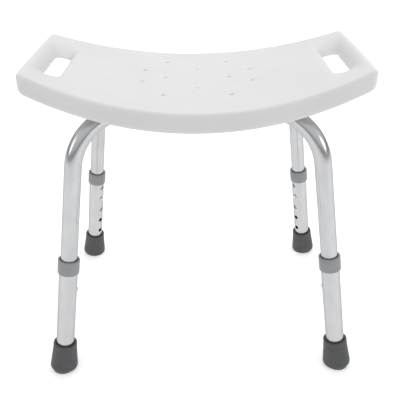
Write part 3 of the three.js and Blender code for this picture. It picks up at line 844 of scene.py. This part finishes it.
def moulded(name, dark, light, roughness, grain):
    """Grained plastic or rubber."""
    material, tree, shader = new_material(name)
    here = local_position(tree)
    tint = blend_colours(tree, spread(tree, noise(tree, here, 70, 5, 0.65), 0, 1), dark, light)
    tree.links.new(tint, shader.inputs["Base Color"])
    rough = spread(tree, noise(tree, here, 180, 3), roughness - 0.07, roughness + 0.07)
    tree.links.new(rough, shader.inputs["Roughness"])
    bump(tree, shader, [
        (noise(tree, here, 120, 2), 0.3, 0.0004),
        (noise(tree, here, 1800, 3, 0.6), grain, 0.00012),
    ])
    return material


def steel(name, dark, light, roughness):
    material, tree, shader = new_material(name)
    here = local_position(tree)
    tint = blend_colours(tree, spread(tree, noise(tree, here, 300, 4), 0, 1), dark, light)
    tree.links.new(tint, shader.inputs["Base Color"])
    shader.inputs["Metallic"].default_value = 1
    rough = spread(tree, noise(tree, here, 900, 3), roughness - 0.06, roughness + 0.08)
    tree.links.new(rough, shader.inputs["Roughness"])
    bump(tree, shader, [(noise(tree, here, 2200, 2), 0.1, 0.00005)])
    return material


def floor_finish():
    material, tree, shader = new_material("studio_floor")
    here = local_position(tree)
    cloudy = spread(tree, noise(tree, here, 2, 2), 0, 1)
    tint = blend_colours(tree, cloudy, (0.93, 0.93, 0.93), (0.95, 0.95, 0.95))
    tree.links.new(tint, shader.inputs["Base Color"])
    shader.inputs["Roughness"].default_value = 0.9
    shader.inputs["Specular IOR Level"].default_value = 0
    shader.inputs["Emission Color"].default_value = (1, 1, 1, 1)
    shader.inputs["Emission Strength"].default_value = 0.3
    return material


# ---- Making everything -------------------------------------------------------------------------

def paint(piece, material):
    piece.data.materials.clear()
    piece.data.materials.append(material)


make_seat()
make_frame_tube("upper_frame", "frame_tube_upper", FRAME_ANGLE, 1, ("front_left", "rear_right"))
make_frame_tube("lower_frame", "frame_tube_lower", -FRAME_ANGLE, -1, ("front_right", "rear_left"))
for leg_name in LEGS:
    make_extension(leg_name)
    make_collar(leg_name)
    make_tip(leg_name)
    make_button(leg_name)
    make_seat_screw(leg_name)
make_cross_bolt()
make_nut()
make_washer("frame_bolt_washer", "bolt_washer", Vector((0, 0, 0)),
            BOLT_RADIUS + 0.3 * MM, BOLT_WASHER_RADIUS, HUB_LOW - 2 * MM, HUB_LOW - CLEARANCE)

FINISHES = {
    "seat_plastic": seat_plastic(),
    "anodised_tube": anodised_tube(),
    "collar_plastic": moulded("collar_plastic", (0.255, 0.26, 0.265), (0.30, 0.305, 0.31), 0.5, 0.25),
    "tip_rubber": moulded("tip_rubber", (0.06, 0.062, 0.065), (0.078, 0.08, 0.083), 0.6, 0.45),
    "button_steel": steel("button_steel", (0.62, 0.62, 0.62), (0.70, 0.70, 0.70), 0.2),
    "spring_steel": steel("spring_steel", (0.42, 0.42, 0.43), (0.52, 0.52, 0.53), 0.3),
    "fastener_steel": steel("fastener_steel", (0.52, 0.52, 0.53), (0.62, 0.62, 0.63), 0.26),
}
PIECE_FINISHES = {
    "seat_shell": "seat_plastic",
    "upper_frame": "anodised_tube",
    "lower_frame": "anodised_tube",
    "lower_leg": "anodised_tube",
    "guide_collar": "collar_plastic",
    "foot": "tip_rubber",
    "push_button": "button_steel",
    "fixing": "fastener_steel",
    "frame_bolt": "fastener_steel",
}
for piece in bpy.context.scene.objects:
    for start, finish in PIECE_FINISHES.items():
        if piece.type == "MESH" and piece.name.startswith(start) and piece.name not in frame["nodes"]:
            paint(piece, FINISHES[finish])
for leg_name in LEGS:
    frame["nodes"][f"button_spring_{leg_name}"].material_slots[0].material = FINISHES["spring_steel"]
    frame["nodes"][f"tip_washer_{leg_name}"].material_slots[0].material = FINISHES["fastener_steel"]


# ---- Floor, light and camera ----------------------------------------------------------------------

def make_floor():
    """Pale floor that shows in the tubes but throws no light up at the seat."""
    half = 8
    corners = [(-half, -half, 0), (half, -half, 0), (half, half, 0), (-half, half, 0)]
    floor = add_object("studio_floor", corners, [(0, 1, 2, 3)])
    paint(floor, floor_finish())
    floor.visible_diffuse = False


def add_light(name, place, target, size, power):
    lamp = bpy.data.lights.new(name, "AREA")
    lamp.shape = "RECTANGLE"
    lamp.size = size[0]
    lamp.size_y = size[1]
    lamp.energy = power
    light = bpy.data.objects.new(name, lamp)
    bpy.context.scene.collection.objects.link(light)
    light.location = place
    light.rotation_euler = (Vector(target) - Vector(place)).to_track_quat("-Z", "Y").to_euler()


def light_world():
    """A pale studio all round, with a dimmer band at eye level for the tubes to reflect."""
    world = bpy.data.worlds.new("studio")
    world.use_nodes = True
    bpy.context.scene.world = world
    tree = world.node_tree
    background = tree.nodes["Background"]
    direction = tree.nodes.new("ShaderNodeTexCoord")
    parts = tree.nodes.new("ShaderNodeSeparateXYZ")
    tree.links.new(direction.outputs["Generated"], parts.inputs[0])
    ramp = tree.nodes.new("ShaderNodeValToRGB")
    shades = ((0.0, 1.0), (0.48, 0.99), (0.505, 0.17), (0.565, 0.19), (0.65, 0.70), (1.0, 0.71))
    stops = ramp.color_ramp.elements
    while len(stops) < len(shades):
        stops.new(0.5)
    for stop, (position, shade) in zip(stops, shades):
        stop.position = position
        stop.color = (shade, shade, shade, 1)
    height = spread(tree, parts.outputs["Z"], 0, 1, -1, 1)
    tree.links.new(height, ramp.inputs["Fac"])
    tree.links.new(ramp.outputs["Color"], background.inputs["Color"])
    background.inputs["Strength"].default_value = 1.15


def add_camera():
    pitch = math.radians(29.3)
    yaw = math.radians(0.36)
    roll = math.radians(-0.55)
    forward = Vector((math.sin(yaw) * math.cos(pitch), math.cos(yaw) * math.cos(pitch), -math.sin(pitch)))
    level = Vector((math.cos(yaw), -math.sin(yaw), 0))
    upright = level.cross(forward)
    right = level * math.cos(roll) + upright * math.sin(roll)
    up = upright * math.cos(roll) - level * math.sin(roll)
    lens = bpy.data.cameras.new("camera")
    lens.sensor_fit = "HORIZONTAL"
    lens.sensor_width = 36
    lens.lens = 51.975
    lens.clip_start = 0.01
    camera = bpy.data.objects.new("camera", lens)
    bpy.context.scene.collection.objects.link(camera)
    turn = Matrix((right, up, -forward)).transposed().to_4x4()
    camera.matrix_world = Matrix.Translation((-2.7 * MM, -884.1 * MM, 716.8 * MM)) @ turn
    bpy.context.scene.camera = camera


make_floor()
light_world()
add_light("back", (0.2, 1.5, 1.9), (0, 0, 0.3), (1.8, 0.7), 12)
add_light("right", (2.0, -1.2, 1.3), (0, 0, 0.35), (0.6, 0.7), 8)
add_light("left", (-2.0, -0.8, 1.2), (0, 0, 0.35), (0.6, 0.9), 4)
add_camera()
bpy.context.scene.view_settings.view_transform = "Standard"
